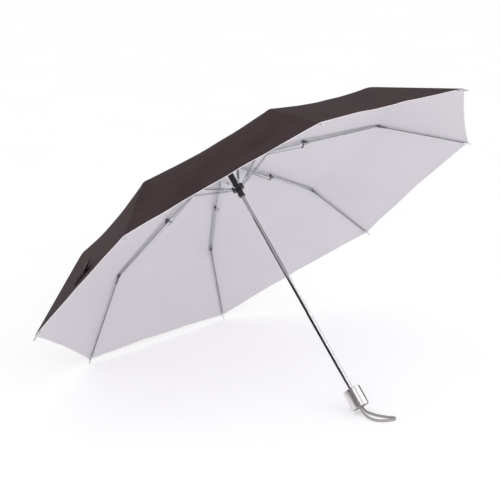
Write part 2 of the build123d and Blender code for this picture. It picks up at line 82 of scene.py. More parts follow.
def place(i, x, t, z):
    """Points of the shared frame: x out along rib i, t beside it and z up the shaft."""
    x, t, z = np.broadcast_arrays(x, t, z)
    spread = x[..., None] * np.array(RADIALS[i]) + t[..., None] * np.array(TANGENTS[i])
    return np.array(CENTRE) + spread + z[..., None] * np.array(UP)


# ---- camera ----------------------------------------------------------------------------------
camera_data = bpy.data.cameras.new("camera")
camera_data.lens = 105.26
camera_data.sensor_width = 36.0
camera_data.clip_end = 50.0
camera = bpy.data.objects.new("camera", camera_data)
camera.location = (-1.8453, -1.9503, 1.0687)
camera.rotation_euler = Euler([math.radians(a) for a in (73.385, 1.912, -43.351)])
scene.collection.objects.link(camera)
scene.camera = camera
scene.view_settings.view_transform = "Standard"


# ---- mesh code --------------------------------------------------------------------------------
def mesh_piece(name, corners, faces, slots, materials, uv=None):
    """A smooth mesh of quads, with a material slot for each face and UV pairs for each corner."""
    piece = smooth_object(name, corners, np.asarray(faces).tolist(), materials)
    piece.data.polygons.foreach_set("material_index", np.asarray(slots, np.int32))
    for layer, pairs in (uv or {}).items():
        write_uv(piece, layer, np.asarray(pairs)[np.asarray(faces).ravel()])
    piece.data.update()
    return piece


def smooth_object(name, corners, faces, materials):
    """A smooth mesh object. Its faces may have any number of corners."""
    mesh = bpy.data.meshes.new(name)
    mesh.from_pydata([tuple(corner) for corner in corners], [], faces)
    for material in materials:
        mesh.materials.append(material)
    mesh.polygons.foreach_set("use_smooth", np.ones(len(faces), bool))
    mesh.update()
    piece = bpy.data.objects.new(name, mesh)
    scene.collection.objects.link(piece)
    return piece


def write_uv(piece, layer, pairs):
    """Adds a UV layer with one pair for each corner of each face."""
    data = piece.data.uv_layers.new(name=layer).data
    data.foreach_set("uv", pairs.ravel().astype(np.float32))


def grid_quads(index):
    """The cells of a grid of corner numbers, as quads."""
    return np.stack([index[:-1, :-1], index[:-1, 1:], index[1:, 1:], index[1:, :-1]], -1).reshape(-1, 4)


def unit(v):
    return v / np.linalg.norm(v, axis=-1, keepdims=True)


def tube(name, line, section, materials, up=(0.0, 0.0, 1.0)):
    """A closed mesh tube down a line, its section given as offsets (across, raised).

    raised leans to the direction up, and across is square to it and to the line.
    """
    line = np.asarray(line, float)
    along = unit(np.gradient(line, axis=0))
    across = unit(np.cross(along, np.broadcast_to(np.asarray(up, float), along.shape)))
    raised = np.cross(across, along)
    section = np.asarray(section, float)
    rings = line[:, None] + across[:, None] * section[:, :1] + raised[:, None] * section[:, 1:]
    count, sides = rings.shape[:2]
    index = np.arange(count * sides).reshape(count, sides)
    beside = np.roll(index, -1, axis=1)
    faces = np.stack([index[:-1], beside[:-1], beside[1:], index[1:]], -1).reshape(-1, 4).tolist()
    faces += [index[0, ::-1].tolist(), index[-1].tolist()]
    run = np.concatenate([[0], np.cumsum(np.linalg.norm(np.diff(line, axis=0), axis=1))])
    girth = np.linalg.norm(np.diff(section, axis=0, append=section[:1]), axis=1)
    around = np.concatenate([[0], np.cumsum(girth)[:-1]])
    pairs = np.stack(np.broadcast_arrays(around[None, :], run[:, None]), -1).reshape(-1, 2)
    piece = smooth_object(name, rings.reshape(-1, 3), faces, materials)
    write_uv(piece, "gore", pairs[[corner for face in faces for corner in face]])
    return piece


# ---- procedural materials ----------------------------------------------------------------------
# Colours are linear red, green and blue. Sizes of patterns are metres, or repeats in a metre.
LEAN = math.atan2(UP.y, UP.z)
WHITE = (1.0, 1.0, 1.0, 1.0)
# painted shade: this dark grey is painted on the rib steel round its pivots, where forks and eyelets shade
# it
PIVOT_SHADE = (0.16, 0.165, 0.18)
PIVOT_SHADE_REACH, PIVOT_SHADE_CORE, PIVOT_SHADE_SPREAD = 0.0125, 0.0050, 0.004
STITCH_PITCH = 0.0026
THREAD_CORE, THREAD_EDGE = 0.00018, 0.00042
HEM_STITCHES, SEAM_STITCHES = [0.0055], [0.0013, 0.0036]
CLOTH_PITCH, TAPE_PITCH, THREAD_PITCH = 0.0007, 0.0011, 0.0004
TIP_FROM = 0.4715
TIP_BLEND = 0.0003


class Paint:
    """A procedural material: a Principled shader with helpers for the nodes before it."""

    def __init__(self, name, **values):
        self.material = bpy.data.materials.new(name)
        self.material.use_nodes = True
        self.tree = self.material.node_tree
        self.shader = self.tree.nodes["Principled BSDF"]
        for key, value in values.items():
            self.shader.inputs[key.replace("_", " ")].default_value = value

    def link(self, source, target):
        """Joins a socket to an input, or sets the input to a plain value."""
        if hasattr(source, "is_linked"):
            self.tree.links.new(source, target)
        else:
            target.default_value = source

    def uv(self, layer, scale=(1, 1, 1)):
        """A UV layer's coordinates, in metres, times a scale for each axis."""
        source = self.tree.nodes.new("ShaderNodeUVMap")
        source.uv_map = layer
        made = self.tree.nodes.new("ShaderNodeMapping")
        made.inputs["Scale"].default_value = scale
        self.link(source.outputs["UV"], made.inputs["Vector"])
        return made.outputs["Vector"]

    def solid(self, scale=(1, 1, 1)):
        """Coordinates in the shaft frame, in metres, times a scale for each axis."""
        source = self.tree.nodes.new("ShaderNodeTexCoord")
        made = self.tree.nodes.new("ShaderNodeMapping")
        made.vector_type = "TEXTURE"
        made.inputs["Location"].default_value = CENTRE
        made.inputs["Rotation"].default_value = (-LEAN, 0.0, 0.0)
        made.inputs["Scale"].default_value = [1 / k for k in scale]
        self.link(source.outputs["Object"], made.inputs["Vector"])
        return made.outputs["Vector"]

    def from_axis(self):
        """The distance from the shaft's line."""
        x, y, _ = self.split(self.solid())
        squares = self.math("MULTIPLY_ADD", x, x, self.math("MULTIPLY", y, y))
        return self.math("SQRT", squares)

    def noise(self, vector, scale, detail=4.0, roughness=0.55):
        made = self.tree.nodes.new("ShaderNodeTexNoise")
        made.inputs["Scale"].default_value = scale
        made.inputs["Detail"].default_value = detail
        made.inputs["Roughness"].default_value = roughness
        self.link(vector, made.inputs["Vector"])
        return made.outputs["Fac"]

    def cells(self, vector, scale):
        made = self.tree.nodes.new("ShaderNodeTexVoronoi")
        made.inputs["Scale"].default_value = scale
        self.link(vector, made.inputs["Vector"])
        return made.outputs["Distance"]

    def ramp(self, value, stops):
        """Colours along a value, from (place, colour) stops."""
        made = self.tree.nodes.new("ShaderNodeValToRGB")
        elements = made.color_ramp.elements
        while len(elements) < len(stops):
            elements.new(0.5)
        for element, (spot, colour) in zip(elements, stops):
            element.position = spot
            element.color = (*colour, 1.0)
        self.link(value, made.inputs["Fac"])
        return made.outputs["Color"]

    def mixed(self, share, a, b):
        """Colour a turned into colour b by a share from 0 to 1."""
        made = self.tree.nodes.new("ShaderNodeMix")
        made.data_type = "RGBA"
        self.link(share, made.inputs[0])
        for value, socket in ((a, made.inputs[6]), (b, made.inputs[7])):
            self.link((*value, 1.0) if isinstance(value, tuple) else value, socket)
        return made.outputs[2]

    def math(self, operation, *values):
        made = self.tree.nodes.new("ShaderNodeMath")
        made.operation = operation
        for socket, value in zip(made.inputs, values):
            self.link(value, socket)
        return made.outputs[0]

    def split(self, vector):
        made = self.tree.nodes.new("ShaderNodeSeparateXYZ")
        self.link(vector, made.inputs[0])
        return made.outputs["X"], made.outputs["Y"], made.outputs["Z"]

    def span(self, value, low, high, to_low=0.0, to_high=1.0):
        """A value from low to high turned into one from to_low to to_high, and kept there."""
        made = self.tree.nodes.new("ShaderNodeMapRange")
        limits = {"From Min": low, "From Max": high, "To Min": to_low, "To Max": to_high}
        for key, number in limits.items():
            made.inputs[key].default_value = number
        self.link(value, made.inputs["Value"])
        return made.outputs["Result"]

    def colour(self, socket):
        self.link(socket, self.shader.inputs["Base Color"])

    def roughness(self, value, low, high):
        """Roughness from low to high over the middle half of a noise's range."""
        self.link(self.span(value, 0.25, 0.75, low, high), self.shader.inputs["Roughness"])

    def bump(self, value, distance, strength):
        """Adds one height map on top of the bumps there already."""
        made = self.tree.nodes.new("ShaderNodeBump")
        made.inputs["Strength"].default_value = strength
        made.inputs["Distance"].default_value = distance
        self.link(value, made.inputs["Height"])
        normal = self.shader.inputs["Normal"]
        if normal.is_linked:
            self.link(normal.links[0].from_socket, made.inputs["Normal"])
        self.link(made.outputs["Normal"], normal)

    def weave(self, layer, pitch, turned=False):
        """A plain weave's height from 0 to 1, its threads this far apart, or a braid's."""
        x, y, _ = self.split(self.uv(layer, (math.pi / pitch,) * 3))
        if turned:
            x, y = self.math("ADD", x, y), self.math("SUBTRACT", x, y)
        waves = self.math("MULTIPLY", self.math("SINE", x), self.math("SINE", y))
        return self.math("MULTIPLY_ADD", waves, 0.5, 0.5)

    def stitches(self, away, along, spots):
        """Rows of stitches: 1 on the thread. away is the distance from an edge or seam."""
        turns = self.math("MULTIPLY", along, 2 * math.pi / STITCH_PITCH)
        dash = self.span(self.math("SINE", turns), -0.5, -0.1)
        rows = 0.0
        for spot in spots:
            off = self.math("ABSOLUTE", self.math("SUBTRACT", away, spot))
            rows = self.math("MAXIMUM", self.span(off, THREAD_CORE, THREAD_EDGE, 1.0, 0.0), rows)
        return self.math("MULTIPLY", rows, dash)

    def glow(self, strength):
        self.shader.inputs["Emission Color"].default_value = WHITE
        self.shader.inputs["Emission Strength"].default_value = strength


def cloth_paint(name, dark, light, thread, rough, sheen, specular, slub):
    """Coated polyester: a fine plain weave with slubs along the weft, and sewn seams and hem.

    slub is how strongly the slubs stand out in relief.
    """
    paint = Paint(name, Sheen_Weight=sheen, Sheen_Roughness=0.5, Specular_IOR_Level=specular)
    across, down, _ = paint.split(paint.uv("gore"))
    from_hem, from_seam, _ = paint.split(paint.uv("seams"))
    slubs = paint.noise(paint.uv("gore", (7, 260, 1)), 1.0, 5.0, 0.65)
    threads = paint.noise(paint.uv("gore", (2200, 160, 1)), 1.0, 2.0)
    clouds = paint.noise(paint.uv("gore"), 9.0, 4.0)
    tone = paint.math("ADD", paint.math("MULTIPLY", slubs, 0.5), paint.math("MULTIPLY", clouds, 0.5))
    plain = paint.ramp(tone, [(0.36, dark), (0.64, light)])
    hem = paint.stitches(from_hem, across, HEM_STITCHES)
    seam = paint.stitches(from_seam, down, SEAM_STITCHES)
    sewn = paint.math("MAXIMUM", hem, seam)
    near_seam = paint.span(from_seam, 0.0004, 0.0034, 0.75, 0.0)
    rubbed = paint.math("MULTIPLY", near_seam, paint.span(clouds, 0.35, 0.6))
    plain = paint.mixed(rubbed, plain, thread)
    paint.colour(paint.mixed(paint.math("MULTIPLY", sewn, 0.7), plain, thread))
    paint.roughness(clouds, rough - 0.05, rough + 0.05)
    paint.bump(paint.weave("gore", CLOTH_PITCH), 0.00005, 0.6)
    paint.bump(threads, 0.00005, 0.4)
    paint.bump(slubs, 0.0001, slub)
    paint.bump(clouds, 0.003, 0.2)
    paint.bump(sewn, 0.0002, 0.8)
    return paint.material


def tape_paint(name, dark, light, pitch, turned, sheen=0.2):
    """Woven or braided tape, coarser than the canopy's cloth, a little fluffy."""
    paint = Paint(name, Sheen_Weight=sheen, Sheen_Roughness=0.6, Specular_IOR_Level=sheen)
    weave = paint.weave("gore", pitch, turned)
    fluff = paint.noise(paint.uv("gore"), 900.0, 3.0)
    shade = paint.math("ADD", paint.math("MULTIPLY", weave, 0.6), paint.math("MULTIPLY", fluff, 0.4))
    paint.colour(paint.ramp(shade, [(0.2, dark), (0.7, light)]))
    paint.roughness(fluff, 0.75, 0.9)
    paint.bump(weave, 0.0003, 0.9)
    paint.bump(fluff, 0.0001, 0.5)
    return paint.material


def metal_paint(name, base, rough, drawn, dull, pivots=()):
    """Bare or plated metal with drawing marks, small stains and painted shade at its pivots.

    drawn is the marks' repeats in a metre for each axis, dull the stains' loss of brightness,
    and pivots the pivots' distances from the shaft's line.
    """
    paint = Paint(name, Metallic=1.0)
    grain = paint.noise(paint.solid(drawn), 1.0, 6.0, 0.7)
    stains = paint.noise(paint.solid(), 90.0, 5.0, 0.6)
    specks = paint.cells(paint.solid(), 700.0)
    shade = tuple(c * (1 - dull) for c in base)
    colour = paint.ramp(stains, [(0.36, shade), (0.58, base)])
    # painted shade: a band of dark grey at each pivot's distance from the shaft, darkest at its core, with
    # edges roughened by the grain
    for pivot in pivots:
        off = paint.math("ABSOLUTE", paint.math("SUBTRACT", paint.from_axis(), pivot))
        shade_off = paint.math("ADD", off, paint.math("MULTIPLY", grain, PIVOT_SHADE_SPREAD))
        colour = paint.mixed(paint.span(shade_off, PIVOT_SHADE_REACH, PIVOT_SHADE_CORE), colour, PIVOT_SHADE)
    paint.colour(colour)
    worn = paint.math("MULTIPLY_ADD", stains, 0.5, paint.math("MULTIPLY", grain, 0.5))
    paint.roughness(worn, rough - 0.06, rough + 0.08)
    paint.bump(grain, 0.00001, 0.5)
    paint.bump(specks, 0.00002, 0.15)
    return paint.material


def rod_paint(name, base, tip):
    """Spring-steel rod: drawn and plated, with a paler moulded cap on its end."""
    paint = Paint(name, Metallic=1.0)
    at_tip = paint.span(paint.from_axis(), TIP_FROM - TIP_BLEND, TIP_FROM)
    stains = paint.noise(paint.solid(), 160.0, 4.0)
    plain = paint.ramp(stains, [(0.35, tuple(c * 0.7 for c in base)), (0.65, base)])
    paint.colour(paint.mixed(at_tip, plain, tip))
    paint.roughness(stains, 0.26, 0.42)
    paint.bump(paint.noise(paint.solid((300, 300, 300)), 1.0, 4.0), 0.00004, 0.4)
    return paint.material


def plastic_paint(name, base, light, rough, fineness):
    """Moulded plastic with a fine spark-eroded grain, rubbed paler in patches.

    fineness is the grain's repeats in a metre.
    """
    paint = Paint(name, Specular_IOR_Level=0.45)
    grain = paint.noise(paint.solid(), fineness, 3.0)
    rubbed = paint.noise(paint.solid(), 70.0, 5.0)
    scratches = paint.noise(paint.solid((900, 900, 60)), 1.0, 4.0, 0.7)
    paint.colour(paint.ramp(rubbed, [(0.4, base), (0.75, light)]))
    paint.roughness(rubbed, rough - 0.08, rough + 0.08)
    paint.bump(grain, 0.00006, 0.4)
    paint.bump(scratches, 0.00004, 0.3)
    return paint.material


OUTSIDE = cloth_paint(
    "cloth_outside",
    dark=(0.040, 0.0243, 0.027),
    light=(0.070, 0.0455, 0.0495),
    thread=(0.086, 0.064, 0.067),
    rough=0.7,
    sheen=0.012,
    specular=0.04,
    slub=0.6,
)
INSIDE = cloth_paint(
    "cloth_inside",
    dark=(0.596, 0.570, 0.611),
    light=(0.628, 0.601, 0.642),
    thread=(0.52, 0.50, 0.53),
    rough=0.5,
    sheen=0.03,
    specular=0.3,
    slub=0.18,
)
EDGE = cloth_paint(
    "cloth_edge",
    dark=(0.70, 0.655, 0.665),
    light=(0.80, 0.755, 0.765),
    thread=(0.6, 0.57, 0.58),
    rough=0.6,
    sheen=0.05,
    specular=0.2,
    slub=0.3,
)
TIE = tape_paint("tie_cloth", (0.006, 0.004, 0.005), (0.018, 0.013, 0.014), TAPE_PITCH, False, 0.03)
STRAP = tape_paint("strap_tape", (0.22, 0.205, 0.205), (0.46, 0.435, 0.435), TAPE_PITCH, True)
THREAD = tape_paint("tying_thread", (0.45, 0.43, 0.45), (0.75, 0.73, 0.75), THREAD_PITCH, True)
CHROME = metal_paint("chrome_tube", (0.52, 0.52, 0.54), 0.10, (420, 420, 9), 0.05)
PLATED = metal_paint("plated_steel", (0.68, 0.70, 0.72), 0.19, (350, 350, 350), 0.12)
# the rib steel carries painted shade round its knee and elbow pivots
PIVOTS = [hinge_point(name, 1)[0] for name in ("middle_rib", "outer_rib")]
RIB = metal_paint("rib_steel", (0.70, 0.72, 0.74), 0.16, (350, 350, 350), 0.12, PIVOTS)
WIRE = metal_paint("plated_wire", (0.42, 0.43, 0.46), 0.28, (400, 400, 400), 0.2)
SATIN = metal_paint("satin_aluminium", (0.80, 0.775, 0.79), 0.30, (1500, 1500, 25), 0.05)
BLACK = plastic_paint("black_plastic", (0.008, 0.008, 0.009), (0.024, 0.024, 0.026), 0.34, 2600.0)
CORE = plastic_paint("grey_plastic", (0.20, 0.19, 0.20), (0.30, 0.285, 0.30), 0.5, 1800.0)
ROD = rod_paint("plated_rod", (0.29, 0.30, 0.33), (0.80, 0.80, 0.82))

FINISH = {
    "canopy": OUTSIDE,
    "tie_strap": TIE,
    "tie_snap": BLACK,
    "top_cap": BLACK,
    "crown": BLACK,
    "crown_wire": WIRE,
    "runner": BLACK,
    "runner_wire": WIRE,
    "runner_catch": PLATED,
    "upper_tube": CHROME,
    "middle_tube": CHROME,
    "lower_tube": CHROME,
    "upper_button": PLATED,
    "lower_button": PLATED,
    "handle_shell": SATIN,
    "handle_core": CORE,
    "strap_plug": CORE,
    "wrist_strap": CORE,
    "top_rib": RIB,
    "stretcher": RIB,
    "link": RIB,
    "middle_rib": RIB,
    "outer_rib": ROD,
}
for name, node in nodes.items():
    kind = name if name in FINISH else name.rsplit("_", 1)[0]
    node.data.materials.clear()
    node.data.materials.append(FINISH[kind])

# ---- wrist strap -------------------------------------------------------------------------------
# A flat tape loop. It leaves the plug, stands on its edge on the floor, and goes back in.
STRAP_WIDTH, STRAP_THICK = 0.0052, 0.0017
STRAP_ROUTE = [
    (0.0031, -0.2421, 0.0128),
    (0.0031, -0.2496, 0.0041),
    (0.0038, -0.2620, 0.0027),
    (0.0055, -0.2770, 0.0027),
    (0.0090, -0.2910, 0.0027),
    (0.0155, -0.3040, 0.0027),
    (0.0195, -0.3090, 0.0027),
    (0.0165, -0.3145, 0.0027),
    (0.0085, -0.3135, 0.0027),
    (-0.0020, -0.3065, 0.0027),
    (-0.0115, -0.2975, 0.0027),
    (-0.0145, -0.2830, 0.0027),
    (-0.0105, -0.2660, 0.0027),
    (-0.0031, -0.2496, 0.0041),
    (-0.0031, -0.2421, 0.0128),
]


def smooth_line(name, route):
    """The points of a NURBS spline through its control points' cage."""
    curve = bpy.data.curves.new(name, "CURVE")
    curve.dimensions = "3D"
    spline = curve.splines.new("NURBS")
    spline.points.add(len(route) - 1)
    for point, spot in zip(spline.points, route):
        point.co = (*spot, 1.0)
    spline.order_u = 3
    spline.use_endpoint_u = True
    spline.resolution_u = 24
    holder = bpy.data.objects.new(name, curve)
    mesh = bpy.data.meshes.new_from_object(holder)
    line = np.array([v.co for v in mesh.vertices])
    bpy.data.meshes.remove(mesh)
    bpy.data.objects.remove(holder)
    bpy.data.curves.remove(curve)
    return line


def tape_section(width, thick, sides=28):
    """A flat tape's outline, with round edges: thin across and wide up.

    It is an ellipse whose powers below 1 square it off.
    """
    turn = np.linspace(0.0, 2 * math.pi, sides, endpoint=False)
    c, s = np.cos(turn), np.sin(turn)
    across = thick / 2 * np.sign(c) * np.abs(c) ** 0.6
    return np.stack([across, width / 2 * np.sign(s) * np.abs(s) ** 0.5], -1)


strap_line = smooth_line("strap_route", STRAP_ROUTE)
strap = tube("wrist_tape", strap_line, tape_section(STRAP_WIDTH, STRAP_THICK), [STRAP])
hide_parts("wrist_strap")
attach(strap, "handle")


# ---- the canopy's surface ------------------------------------------------------------------------
# A rib's sector runs to the middle of the panel on each side. A point is given by the
# station s, the radius at which its ring of straight chords meets the ribs, and by the
# share w of the way along the chord from the rib to the panel's middle. There the chord
# stands CHORD * s beside the rib and PULL_IN * s nearer to the shaft.
HALF = math.pi / len(RIBS)
CHORD = math.sin(HALF) * math.cos(HALF)
PULL_IN = math.sin(HALF) ** 2
CLOTH = 0.0005
OPEN_MIDDLE = math.radians(-10.4)
OPEN_OUTER = math.radians(-35.4)
OUTER_RIB = 0.185
RIDGE_ROUND = 0.003
CROWN_ROUND, RIB_ROUND, PANEL_ROUND = 0.002, 0.0035, 0.012
SAG = 0.0035
DOWN_SLOPE, HEM_SLOPE = 1.14, 1.1
GORE_APART = 0.7

knee_r, knee_z = hinge_point("middle_rib", 1)
elbow_r, elbow_z = hinge_point("outer_rib", 1)


def off_bar(r, z, angle, along, above):
    """The point this far along a bar and above it, as (radius, height)."""
    c, s = math.cos(angle), math.sin(angle)
    return r + along * c - above * s, z + along * s + above * c


# the corners of the canopy's profile over a rib, as (radius, height)
CROWN_EDGE = (0.012, 0.1716)
KNEE_TOP = off_bar(knee_r, knee_z, OPEN_MIDDLE, 0.0, 0.0027)
ELBOW_TOP = off_bar(elbow_r, elbow_z, OPEN_MIDDLE, 0.0, 0.0052)
RIM = off_bar(elbow_r, elbow_z, OPEN_OUTER, OUTER_RIB, 0.0023)
STATIONS = [CROWN_EDGE, KNEE_TOP, ELBOW_TOP, RIM]
RIM_S = RIM[0]
SCALLOP = 0.0035
# slack waves: repeats in a metre both ways, phase and share of the height
WAVES = [(9.1, 4.3, 1.3, 1.0), (-5.2, 8.7, 0.4, 0.7), (14.1, -11.7, 2.1, 0.4)]
WAVE_HEIGHT = 0.00055
# folds: the radius where the cloth is held, their reach, how many, and their height
FOLDS = [(RIM_S, 0.085, 8.0, 0.0011), (ELBOW_TOP[0], 0.05, 6.0, 0.0005)]
FOLDS_CLEAR = 0.02


def soft_corner(s, spot, width):
    """max(0, s - spot), with its corner rounded over about this width."""
    return width * np.logaddexp(0.0, (s - spot) / width)


def profile(s, width):
    """The height over a rib at station s, its chords' corners rounded."""
    slopes = [(b[1] - a[1]) / (b[0] - a[0]) for a, b in zip(STATIONS, STATIONS[1:])]
    z = CROWN_EDGE[1] + slopes[0] * soft_corner(s, CROWN_EDGE[0], CROWN_ROUND)
    for (spot, _), before, after in zip(STATIONS[1:-1], slopes, slopes[1:]):
        z = z + (after - before) * soft_corner(s, spot, width)
    return z


def height(i, x, t):
    """The canopy's inner face over rib i's sector, in the shaft frame."""
    beside = np.sqrt(t * t + RIDGE_ROUND**2) - RIDGE_ROUND
    s = x + math.tan(HALF) * beside
    w = np.abs(t) / np.maximum(s * CHORD, 1e-6)
    ease = np.clip(w * (2 - w), 0.0, 1.0)
    z = profile(s, RIB_ROUND + PANEL_ROUND * ease)
    span = np.clip(s / RIM_S, 0.0, 1.0)
    z = z - SAG * ease * np.sin(math.pi * span) ** 2
    return z + ease * span * (slack_waves(i, x, t) + tip_folds(i, x, t))


def slack_waves(i, x, t):
    """Broad shallow waves of unevenly stretched cloth, the same on both sides of a border."""
    turn = (i - 1) * 2 * HALF
    u = x * math.cos(turn) - t * math.sin(turn)
    v = x * math.sin(turn) + t * math.cos(turn)
    waves = [size * np.sin(2 * math.pi * (a * u + b * v) + phase) for a, b, phase, size in WAVES]
    return WAVE_HEIGHT * sum(waves)


def tip_folds(i, x, t):
    """Creases that run out from a rib's tip and from its elbow, where the cloth is held."""
    folds = 0.0
    for held, reach, count, size in FOLDS:
        away = np.hypot(held - x, t)
        angle = np.arctan2(np.abs(t), held - x)
        shape = np.sin(count * angle + 1.7 * i + 0.8 * np.sign(t))
        fade = np.exp(-((away / reach) ** 2)) * np.clip(away / FOLDS_CLEAR, 0.0, 1.0)
        folds = folds + size * shape * fade
    return folds


def surface(i, s, w, side):
    """Inner face points and outward normals at station s and share w, on one side of rib i."""
    return skin(i, s * (1 - w * PULL_IN), side * w * s * CHORD)


def skin(i, x, t):
    """Inner face points and outward normals at x out along rib i and t beside it."""
    step = 0.0004
    z = height(i, x, t)
    slope_x = (height(i, x + step, t) - height(i, x - step, t)) / (2 * step)
    slope_t = (height(i, x, t + step) - height(i, x, t - step)) / (2 * step)
    points = place(i, x, t, z)
    normal = (
        -slope_x[..., None] * np.array(RADIALS[i])
        - slope_t[..., None] * np.array(TANGENTS[i])
        + np.array(UP)
    )
    return points, unit(normal)


def rim_station(w):
    """The hem's station: it is drawn in a little between the ribs."""
    return RIM_S - SCALLOP * w * (2 - w)


def cloth_uv(i, s, w, side):
    """Flat coordinates in metres: across and down the gore, and from the hem and the seam."""
    across = -side * (1 - w) * s * math.sin(HALF)
    gore = (i if side > 0 else i - 1) % len(RIBS)
    down = s * math.cos(HALF) * DOWN_SLOPE + GORE_APART * gore
    from_hem = (rim_station(w) - s) * HEM_SLOPE
    from_seam = w * s * math.sin(HALF)
    gore_pair = np.stack(np.broadcast_arrays(across, down), axis=-1)
    return {"gore": gore_pair, "seams": np.stack(np.broadcast_arrays(from_hem, from_seam), axis=-1)}


def thick_sheet(name, points, normals, uv, lift_in, rims, lift_out=0.0):
    """A closed two-layer sheet over a grid of points.

    lift_in and lift_out move the inner and outer faces further apart. rims says which of the
    four borders (first row, last row, first column, last column) are real edges of the cloth.
    """
    rows, columns = points.shape[:2]
    inner = points - normals * np.broadcast_to(lift_in, (rows, columns))[..., None]
    outer = points + normals * np.broadcast_to(CLOTH + lift_out, (rows, columns))[..., None]
    corners = np.concatenate([inner.reshape(-1, 3), outer.reshape(-1, 3)])
    count = rows * columns
    index = np.arange(count).reshape(rows, columns)
    quads = grid_quads(index)
    outward = np.cross(points[0, 1] - points[0, 0], points[1, 0] - points[0, 0])
    flip = float(outward @ normals[0, 0]) < 0
    upper, lower = quads + count, quads[:, ::-1]
    faces, slots = [upper, lower], [np.zeros(len(upper), int), np.ones(len(lower), int)]
    for line, real in zip((index[0, ::-1], index[-1], index[:, 0], index[::-1, -1]), rims):
        faces.append(np.stack([line[1:], line[:-1], line[:-1] + count, line[1:] + count], 1))
        slots.append(np.full(len(line) - 1, 2 if real else 0))
    faces, slots = np.concatenate(faces), np.concatenate(slots)
    if flip:
        faces = faces[:, ::-1]
    pairs = {layer: np.concatenate([grid.reshape(-1, 2)] * 2) for layer, grid in uv.items()}
    piece = mesh_piece(name, corners, faces, slots, (OUTSIDE, INSIDE, EDGE), pairs)
    rise = normals.reshape(-1, 3)
    loops = np.concatenate([-rise, rise])[faces.ravel()]
    border = np.repeat(np.arange(len(faces)) >= 2 * len(upper), 4)
    flat = np.repeat([tuple(face.normal) for face in piece.data.polygons], 4, axis=0)
    piece.data.normals_split_custom_set(np.where(border[:, None], flat, loops).tolist())
    return piece


def declare(piece, points, held="stretched", node="canopy", **more):
    """Hides the packed model's part that the piece stands in for."""
    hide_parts(node)


# ---- cutting the canopy into pieces ----------------------------------------------------------------
# Along each rib runs a strip, the spine, which is SPINE wide on each side. Beside it lie wings,
# cut across over each joint of the rib. Their cuts run outward towards the panel's middle.
# A zone has the bar that its wings ride on, that bar's slope when open, how far the wings'
# gathering tilts inward, the share of their width kept when folded, and columns of points.
Zone = namedtuple("Zone", "bar angle tilt keep columns")
SPINE = 0.0049
DISC_S = 0.014
KNEE_SHIFT, ELBOW_SHIFT = 0.028, 0.0357
HEM = 0.007
HEM_THICK = 0.0005
FOLD_STEP, FOLD_CLEAR = 0.0003, 0.006
WING_STEP, SPINE_STEP = 0.006, 0.0025
SEAM_HALF, SEAM_THICK = 0.0031, 0.0003
SEAM_FROM, SEAM_FADE = 0.02, 0.03
# the spans round the hinges where the spine would bend: from the disc to CROWN_BEND, and this far on each
# side of the other hinges. The spine is not bent over them.
CROWN_BEND, KNEE_BEND, ELBOW_BEND = 0.032, 0.008, 0.009
BEND_ROUND = 0.003
ROUNDS = 4
ZONES = {
    "top": Zone("top_rib", math.radians(-9.15), math.radians(3.0), 0.05, 9),
    "middle": Zone("middle_rib", OPEN_MIDDLE, math.radians(9.0), 0.02, 15),
    "outer": Zone("outer_rib", OPEN_OUTER, math.radians(12.0), 0.058, 23),
}
SPINE_ENDS = {"top": (DISC_S, 0.09), "middle": (0.09, 0.25), "outer": (0.25, RIM_S)}


def crown_cut(w):
    """The station where the wings begin, beside the middle disc, for each share in w."""
    return DISC_S + 0.0 * w


def knee_cut(w):
    return KNEE_TOP[0] + KNEE_SHIFT * w


def elbow_cut(w):
    return ELBOW_TOP[0] + ELBOW_SHIFT * w


CUTS = {"top": (crown_cut, knee_cut), "middle": (knee_cut, elbow_cut), "outer": (elbow_cut, rim_station)}


def rows_between(low, high, step, hemmed):
    """Shares of the way down a piece, with two close rows at the fold of a hem."""
    shares = np.linspace(0.0, 1.0, max(3, int(round((high - low) / step)) + 1))
    if hemmed:
        fold = 1 - HEM / (high - low)
        kept = shares[(shares < fold - FOLD_CLEAR) | (shares > 0.9999)]
        shares = np.sort(np.concatenate([kept, [fold - FOLD_STEP / (high - low), fold, (1 + fold) / 2]]))
    return shares


def hem_lift(s, w):
    """How much further in the inner face stands: the hem is folded cloth."""
    return np.where(rim_station(w) - s < HEM * 1.01, HEM_THICK, 0.0)


def gathering(zone, i, side):
    """The direction in which a wing gathers, and the outward direction off its bar."""
    cut = ZONES[zone]
    above = -math.sin(cut.angle) * RADIALS[i] + math.cos(cut.angle) * UP
    return side * math.cos(cut.tilt) * TANGENTS[i] - math.sin(cut.tilt) * above, above


def wing(zone, i, side):
    """Half of a rib's sector between two joints, from the spine to the panel's middle.

    It is fixed to its own bar and moves with it.
    """
    cut = ZONES[zone]
    inner, outer = CUTS[zone]
    last = zone == "outer"
    shares = rows_between(inner(0.0), outer(0.0), WING_STEP, last)[:, None]
    across = np.linspace(0.0, 1.0, cut.columns)[None, :]
    w = np.broadcast_to(across, (len(shares), across.shape[1]))
    for _ in range(ROUNDS):  # the shares depend on the stations, and the stations on the shares
        s = inner(w) + (outer(w) - inner(w)) * shares
        start = SPINE / (s[:, :1] * CHORD)
        w = start + (1 - start) * across
    s = inner(w) + (outer(w) - inner(w)) * shares
    points, normals = surface(i, s, w, side)
    name = f"canopy_{zone}_{'left' if side > 0 else 'right'}_{i}"
    lift = hem_lift(s, w) if last else 0.0
    piece = thick_sheet(name, points, normals, cloth_uv(i, s, w, side), lift, (False, last, False, False))
    declare(piece, points)
    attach(piece, f"{cut.bar}_{i}")
    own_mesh(piece)


